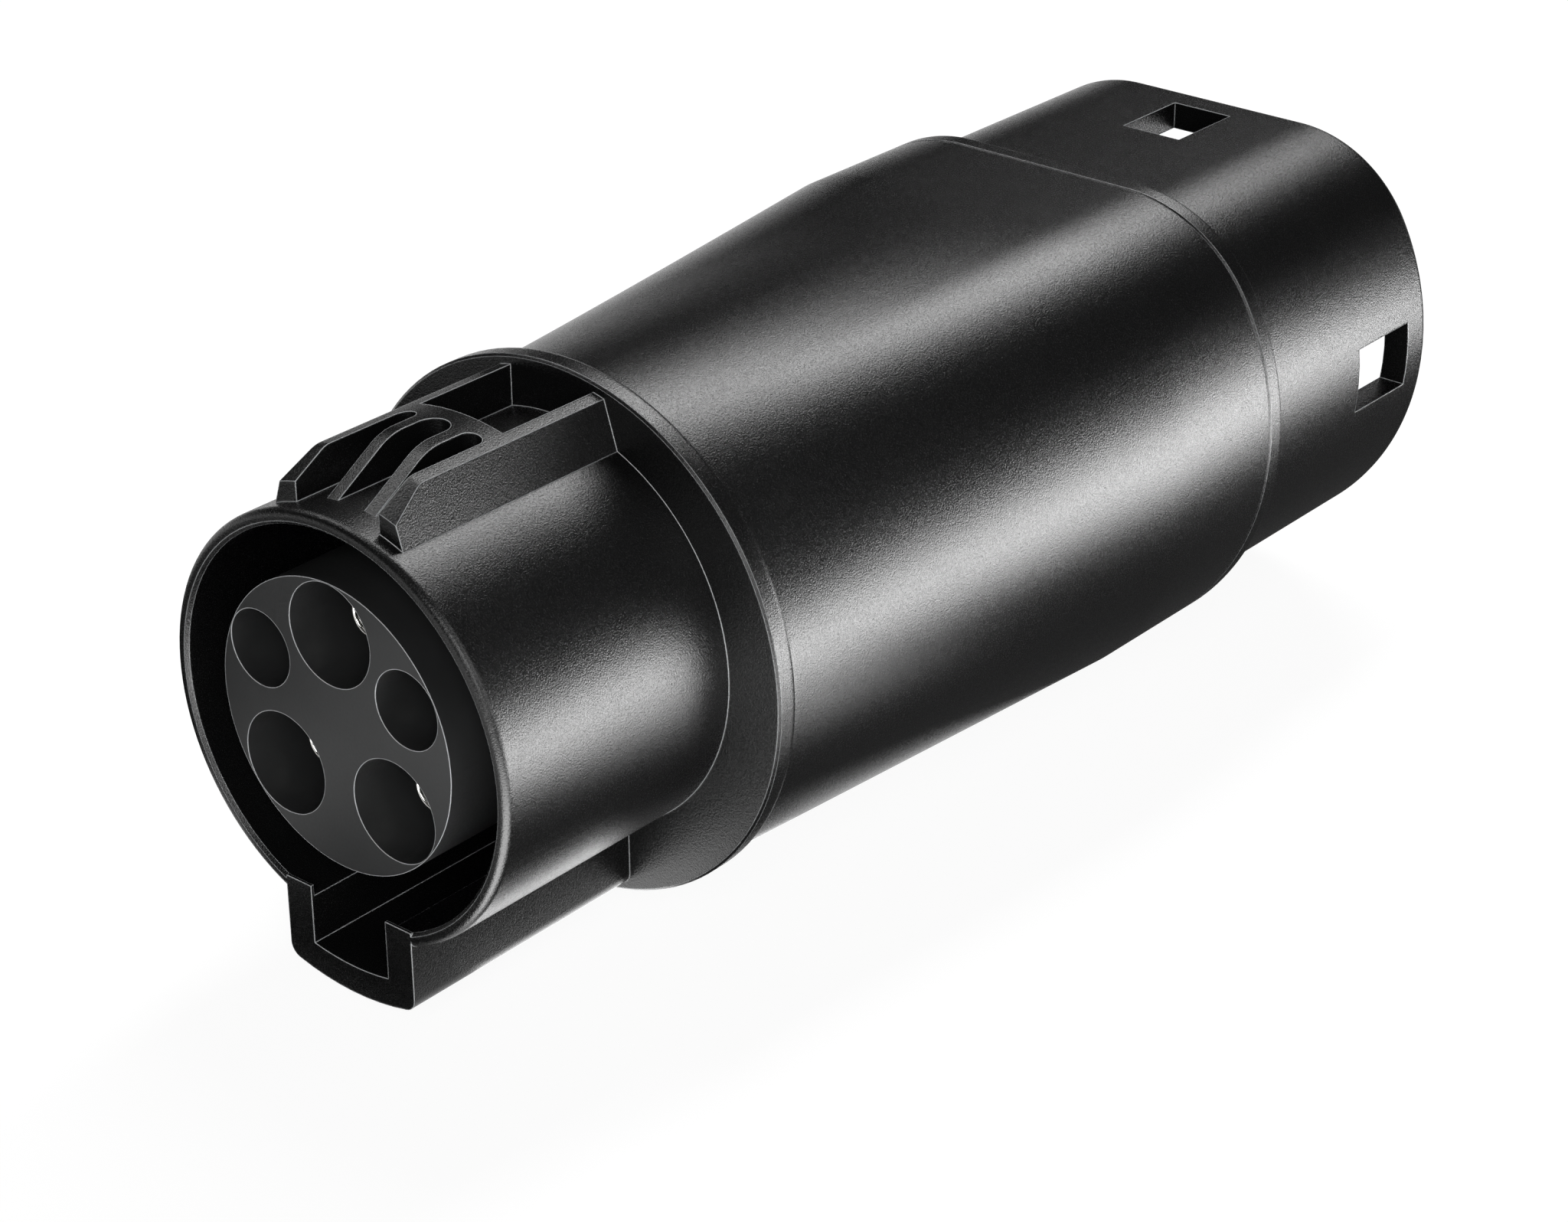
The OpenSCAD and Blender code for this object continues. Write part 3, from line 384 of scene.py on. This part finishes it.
def centre_of(node):
    """Where the middle of a node lies in x and z."""
    low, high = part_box(node)
    return (low[0] + high[0]) / 2, (low[2] + high[2]) / 2


def add_pin_carrier():
    """The D-shaped carrier in the shroud, with its flange and seven holes."""
    rings = [
        carrier_ring(SHROUD_FRONT - PIN_FLANGE_LENGTH, PIN_FLANGE_WIDTH),
        carrier_ring(SHROUD_FRONT, PIN_FLANGE_WIDTH),
        carrier_ring(SHROUD_FRONT),
        carrier_ring(PIN_FACE - PIN_CARRIER_BEVEL),
        carrier_ring(PIN_FACE, -PIN_CARRIER_BEVEL),
    ]
    bm = bmesh.new()
    rows = loft(bm, rings, closed=False)
    bm.faces.new(rows[0])
    holes = [(centre_of(n), POWER_HOLE_R) for n in ("pin_earth", "pin_line", "pin_neutral")]
    holes += [(centre_of(n), SIGNAL_HOLE_R) for n in ("pin_pilot", "pin_proximity")]
    holes += [(centre, POWER_HOLE_R) for centre in SPARE_HOLES]
    edges = loop_edges(bm, rows[-1])
    for centre, radius in holes:
        wall = [
            circle(PIN_FACE, radius + HOLE_BEVEL, centre, HOLE_SIDES),
            circle(PIN_FACE - HOLE_BEVEL, radius, centre, HOLE_SIDES),
            circle(PIN_FACE - PIN_HOLE_DEPTH, radius, centre, HOLE_SIDES),
        ]
        hole_rows = loft(bm, wall, closed=False)
        bm.faces.new(hole_rows[-1])
        edges += loop_edges(bm, hole_rows[0])
    bmesh.ops.triangle_fill(bm, use_beauty=True, use_dissolve=False, edges=edges)
    return add_piece("pin_carrier_skin", bm, "pin_carrier")


def add_contact_lips():
    """The rolled lips at the mouths of the three power sockets."""
    lips = []
    for kind in ("earth", "line", "neutral"):
        node = "socket_" + kind
        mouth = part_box(node)[0][1] - LIP_ROUND + LIP_SINK
        rings = []
        for a in full_turn(LIP_STEPS):
            y = mouth + LIP_ROUND * math.sin(a)
            rings.append(circle(y, LIP_R + LIP_ROUND * math.cos(a), centre_of(node), LIP_SIDES))
        bm = bmesh.new()
        loft(bm, rings, closed=True)
        lips.append(add_piece("lip_" + kind, bm, node, covers=False))
    return lips


# Materials

# Painted highlights along the edges, where the base colour turns light grey in place of glints: their
# width, their level and the turns of the surface where they rise
EDGE_HIGHLIGHT_WIDTH = 0.18 * MM
EDGE_HIGHLIGHT_LEVEL = 0.80
EDGE_HIGHLIGHT_TURN = (0.985, 0.89)
EDGE_HIGHLIGHT_SAMPLES = 8
# Plastic: the radius of its softly broken edges, a slight blue in the black, mottling and grain
PLASTIC_IOR = 1.5
BROKEN_EDGE = 0.25 * MM
BROKEN_SAMPLES = 6
TINT = 0.02
MOTTLE_SIZE = 9.0 * MM
MOTTLE_SHADE = 0.15
GRAIN_STRENGTH = 1.0
# Metal: turning marks
MARK_SIZE = 0.4 * MM
MARK_DEPTH = 0.01 * MM
MARK_STRENGTH = 0.3
# Coatings: spots
COATING_IOR = 1.45
SPOT_SIZE = 1.5 * MM
SPOT_DEPTH = 0.02 * MM
SPOT_STRENGTH = 0.4
SPOT_SHADE = 0.8
# How far each of them spreads the roughness, down and up
GRAIN_SPREAD = (0.06, 0.06)
MARK_SPREAD = (0.05, 0.08)
SPOT_SPREAD = (0.05, 0.05)
# Where in a noise's values its ramp starts and ends
RAMP_ENDS = (0.3, 0.7)


def grey(level, tint=0.0):
    """A grey of the given level, turned a little towards blue by the tint."""
    return (level * (1.0 - tint), level, level * (1.0 + tint), 1.0)


class Nodes:
    """A material's node tree, with short calls to add nodes and to link them."""

    def __init__(self, name):
        self.material = bpy.data.materials.new(name)
        self.material.use_nodes = True
        self.tree = self.material.node_tree
        self.tree.nodes.clear()
        self.output = self.tree.nodes.new("ShaderNodeOutputMaterial")
        self.where = self.tree.nodes.new("ShaderNodeTexCoord").outputs["Object"]

    def add(self, kind, **values):
        """Adds a node, and sets its properties and sockets. In a socket's name, _ stands for a space."""
        node = self.tree.nodes.new("ShaderNode" + kind)
        for key, value in values.items():
            if hasattr(node, key) and key not in node.inputs:
                setattr(node, key, value)
            else:
                node.inputs[key.replace("_", " ")].default_value = value
        return node

    def link(self, source, target):
        self.tree.links.new(source, target)

    def noise(self, size, detail=2.0, roughness=0.5):
        """Noise with features of about the given size, in metres."""
        node = self.add("TexNoise", Scale=1.0 / size, Detail=detail, Roughness=roughness)
        self.link(self.where, node.inputs["Vector"])
        return node.outputs["Fac"]

    def ramp(self, source, low, high):
        """Maps a value to a smooth ramp between two colours."""
        node = self.add("ValToRGB")
        ends = zip(node.color_ramp.elements, RAMP_ENDS, (low, high))
        for element, position, colour in ends:
            element.position = position
            element.color = colour
        self.link(source, node.inputs["Fac"])
        return node.outputs["Color"]

    def rough(self, source, shader, level, spread):
        """Lets a value vary the shader's roughness about its level."""
        low, high = grey(level - spread[0]), grey(level + spread[1])
        self.link(self.ramp(source, low, high), shader.inputs["Roughness"])

    def bump(self, source, shader, strength, depth):
        """Raises the surface by a value, up to the given depth in metres."""
        node = self.add("Bump", Strength=strength, Distance=depth)
        self.link(source, node.inputs["Height"])
        self.link(node.outputs["Normal"], shader.inputs["Normal"])
        return node

    def cover(self, shader):
        """Gives the finished material, with the shader on its surface."""
        self.link(shader.outputs[0], self.output.inputs["Surface"])
        return self.material


def painted_edge_highlights(n):
    """A mask that is 1 along the edges, for the highlight painted there into the base colour."""
    around = n.add("Bevel", Radius=EDGE_HIGHLIGHT_WIDTH)
    around.samples = EDGE_HIGHLIGHT_SAMPLES
    straight = n.add("NewGeometry").outputs["Normal"]
    turn = n.add("VectorMath", operation="DOT_PRODUCT")
    n.link(around.outputs["Normal"], turn.inputs[0])
    n.link(straight, turn.inputs[1])
    mask = n.add("MapRange", From_Min=EDGE_HIGHLIGHT_TURN[0], From_Max=EDGE_HIGHLIGHT_TURN[1], To_Min=0.0, To_Max=1.0)
    n.link(turn.outputs["Value"], mask.inputs["Value"])
    return mask.outputs["Result"]


def plastic(name, level, rough, grain_size, grain_depth, edge=BROKEN_EDGE):
    """Moulded black plastic: spark-eroded grain, slow mottling, softly broken edges and a highlight
    painted along them.
    """
    n = Nodes(name)
    shader = n.add("BsdfPrincipled", IOR=PLASTIC_IOR)
    mottle = n.noise(MOTTLE_SIZE, detail=3.0)
    dark, light = grey(level * (1 - MOTTLE_SHADE), TINT), grey(level * (1 + MOTTLE_SHADE), TINT)
    body = n.ramp(mottle, dark, light)
    # Painted highlight: the base colour turns light grey along the edges
    highlighted_body = n.add("MixRGB", Color2=grey(EDGE_HIGHLIGHT_LEVEL, TINT))
    n.link(painted_edge_highlights(n), highlighted_body.inputs["Fac"])
    n.link(body, highlighted_body.inputs["Color1"])
    n.link(highlighted_body.outputs["Color"], shader.inputs["Base Color"])
    grain = n.noise(grain_size, roughness=0.65)
    n.rough(grain, shader, rough, GRAIN_SPREAD)
    broken = n.add("Bevel", Radius=edge)
    broken.samples = BROKEN_SAMPLES
    bump = n.bump(grain, shader, GRAIN_STRENGTH, grain_depth)
    n.link(broken.outputs["Normal"], bump.inputs["Normal"])
    return n.cover(shader)


def metal(name, colour, rough):
    """Plated or zinc-coated metal with fine turning marks."""
    n = Nodes(name)
    shader = n.add("BsdfPrincipled", Metallic=1.0, Base_Color=colour)
    marks = n.noise(MARK_SIZE, detail=3.0)
    n.rough(marks, shader, rough, MARK_SPREAD)
    n.bump(marks, shader, MARK_STRENGTH, MARK_DEPTH)
    return n.cover(shader)


def coating(name, colour, rough):
    """Coloured wire jackets, board lacquer and the like, with faint uneven colour."""
    n = Nodes(name)
    shader = n.add("BsdfPrincipled", IOR=COATING_IOR)
    dark = tuple(c * SPOT_SHADE for c in colour[:3]) + (1.0,)
    spots = n.noise(SPOT_SIZE, detail=3.0)
    n.link(n.ramp(spots, dark, colour), shader.inputs["Base Color"])
    n.rough(spots, shader, rough, SPOT_SPREAD)
    n.bump(spots, shader, SPOT_STRENGTH, SPOT_DEPTH)
    return n.cover(shader)


def dress(skins):
    """Gives each node and each piece made here the material of its slot."""
    looks = {
        "shell": plastic("shell_plastic", 0.006, 0.25, 0.17 * MM, 0.045 * MM),
        "insert": plastic("insert_plastic", 0.026, 0.42, 0.30 * MM, 0.006 * MM, edge=0.16 * MM),
        "plate": plastic("plate_plastic", 0.030, 0.50, 0.30 * MM, 0.010 * MM),
        "contact": metal("contact_silver", (0.86, 0.85, 0.82, 1.0), 0.18),
        "screw": metal("screw_steel", (0.55, 0.55, 0.57, 1.0), 0.32),
        "seal": coating("seal_rubber", (0.030, 0.030, 0.032, 1.0), 0.7),
        "jacket_earth": coating("jacket_earth", (0.16, 0.40, 0.07, 1.0), 0.45),
        "jacket_line": coating("jacket_line", (0.20, 0.09, 0.05, 1.0), 0.45),
        "jacket_neutral": coating("jacket_neutral", (0.04, 0.13, 0.42, 1.0), 0.45),
        "jacket_signal": coating("jacket_signal", (0.58, 0.56, 0.52, 1.0), 0.45),
        "board": coating("board_lacquer", (0.02, 0.15, 0.07, 1.0), 0.25),
        "resistor": coating("resistor_body", (0.55, 0.40, 0.22, 1.0), 0.35),
    }
    for node, slot in SLOTS.items():
        materials = NODES[node].data.materials
        materials.clear()
        materials.append(looks[slot])
    for piece, slot in skins:
        piece.data.materials.append(looks[slot])


# Stage and light

# The stage's sheets and lights are placed in millimetres, and the lights' sizes are in metres
FLOOR_HALF = 6000
FLOOR_Z = CAD_BOUNDS[0][2] - 0.1 * MM
CARD_Z = FLOOR_Z + 0.3 * MM
# The floor's white for the light that it throws back, and what it glows and throws back in view
FLOOR_WHITE = 0.9
FLOOR_GLOW = 0.93
FLOOR_LIT = 0.14
WORLD_GREY = 0.03


def add_sheet(name, outline, z):
    """A level sheet of the stage, from its outline in x and y."""
    mesh = bpy.data.meshes.new(name)
    mesh.from_pydata([(x * MM, y * MM, z) for x, y in outline], [], [tuple(range(len(outline)))])
    sheet = bpy.data.objects.new(name, mesh)
    bpy.context.scene.collection.objects.link(sheet)
    return sheet


def add_card(name, outline, glow):
    """A card on the floor that only reflections see, as bright as glow says."""
    sheet = add_sheet(name, outline, CARD_Z)
    n = Nodes(name)
    sheet.data.materials.append(n.cover(n.add("Emission", Color=grey(1.0), Strength=glow)))
    sheet.visible_camera = False
    sheet.visible_diffuse = False
    sheet.visible_shadow = False


def oblong(x0, x1, y0, y1):
    """The outline of a sheet with its sides along X and Y."""
    return [(x0, y0), (x1, y0), (x1, y1), (x0, y1)]


def add_cards():
    """The cards whose reflections shape the light and dark bands of the photograph."""
    # Dark beside and behind the adapter, with an edge near its side, for the dark lower right
    near = [(14.5, 3), (14.5, 42), (18, 54), (17, 75), (13.5, 100), (13.5, 122), (0, 136)]
    far = [(0, 700), (320, 700), (320, 3)]
    add_card("card_right", near + far, 0.07)
    # Dark in front on the left, for the rim and the key
    add_card("card_left", oblong(-150, -46, -110, 115), 0.01)
    add_card("card_front", oblong(-30, 13, -36, -1), 0.01)
    # Bright ones for the barrel's two lower bands and for the edges that face right and forwards
    add_card("card_band", oblong(56, 90, 48, 80), 7.5)
    add_card("card_low", oblong(2, 11.5, 12, 54), 2.6)
    add_card("card_edge", oblong(14, 120, -95, -4), 9.0)


def add_floor():
    """A pale floor, as white as the backdrop in view and in reflections, with a faint shadow."""
    floor = add_sheet("floor", oblong(-FLOOR_HALF, FLOOR_HALF, -FLOOR_HALF, FLOOR_HALF), FLOOR_Z)
    n = Nodes("floor_white")
    lit = n.add("BsdfDiffuse", Color=grey(FLOOR_WHITE))
    glow = n.add("Emission", Color=grey(1.0), Strength=FLOOR_GLOW)
    shade = n.add("BsdfDiffuse", Color=grey(FLOOR_LIT))
    white = n.add("AddShader")
    n.link(glow.outputs[0], white.inputs[0])
    n.link(shade.outputs[0], white.inputs[1])
    path = n.add("LightPath")
    seen = path.outputs["Is Camera Ray"]
    for other in ("Is Glossy Ray", "Is Transmission Ray"):
        either = n.add("Math", operation="MAXIMUM")
        n.link(seen, either.inputs[0])
        n.link(path.outputs[other], either.inputs[1])
        seen = either.outputs[0]
    mix = n.add("MixShader")
    n.link(seen, mix.inputs[0])
    n.link(lit.outputs[0], mix.inputs[1])
    n.link(white.outputs[0], mix.inputs[2])
    floor.data.materials.append(n.cover(mix))


def add_world():
    """An even grey world, white where the camera looks past the floor."""
    world = bpy.data.worlds.new("studio")
    world.use_nodes = True
    tree = world.node_tree
    tree.nodes.clear()
    output = tree.nodes.new("ShaderNodeOutputWorld")
    dim = tree.nodes.new("ShaderNodeBackground")
    dim.inputs["Color"].default_value = grey(1.0)
    dim.inputs["Strength"].default_value = WORLD_GREY
    white = tree.nodes.new("ShaderNodeBackground")
    white.inputs["Color"].default_value = grey(1.0)
    path = tree.nodes.new("ShaderNodeLightPath")
    mix = tree.nodes.new("ShaderNodeMixShader")
    tree.links.new(path.outputs["Is Camera Ray"], mix.inputs[0])
    tree.links.new(dim.outputs[0], mix.inputs[1])
    tree.links.new(white.outputs[0], mix.inputs[2])
    tree.links.new(mix.outputs[0], output.inputs["Surface"])
    bpy.context.scene.world = world


def add_softbox(name, at, aim, width, length, radiance, diffuse=True):
    """A rectangular soft light with its length along the adapter, as bright as radiance says."""
    data = bpy.data.lights.new(name, "AREA")
    data.shape = "RECTANGLE"
    data.size = width
    data.size_y = length
    data.energy = radiance * math.pi * width * length
    lamp = bpy.data.objects.new(name, data)
    away = (Vector(at) - Vector(aim)).normalized()
    along = (Vector((0, 1, 0)) - away * away.y).normalized()
    across = along.cross(away)
    turn = Matrix((across, along, away)).transposed()
    lamp.matrix_world = Matrix.Translation(Vector(at) * MM) @ turn.to_4x4()
    lamp.visible_camera = False
    lamp.visible_diffuse = diffuse
    bpy.context.scene.collection.objects.link(lamp)


def add_lights():
    """The softboxes: each one's place, its aim, its width and length, and its radiance."""
    # A low strip beside the adapter, for the band along its right side
    add_softbox("side_strip", (86, 126, -11.5), (29, 126, 4), 0.024, 0.22, 17.0, diffuse=False)
    # A softbox behind and above, for the band along its upper right
    add_softbox("top_strip", (-121, 375, 533), (-21, -35, 93), 0.15, 0.50, 12.0)
    # A box beside the camera, for the edges that face it and for the inside of the holes
    add_softbox("camera_box", (376, -449, 297), (0, 0, 0), 0.35, 0.35, 5.0)
    # One above on the left, for the sloped fronts of the latch ramp
    add_softbox("ramp_box", (-372, -12, 552), (0, 2, 20), 0.25, 0.25, 5.0, diffuse=False)
    # A tall one on the right, for the sleeve's front edge behind the flange
    add_softbox("ridge_box", (470, 52, 240), (20, 34, 5), 0.62, 0.12, 4.5, diffuse=False)


add_camera()
dress([add_sleeve(), add_inlet(), add_pin_carrier(), *add_contact_lips()])
add_floor()
add_cards()
add_world()
add_lights()

bpy.context.scene.view_settings.view_transform = "Standard"
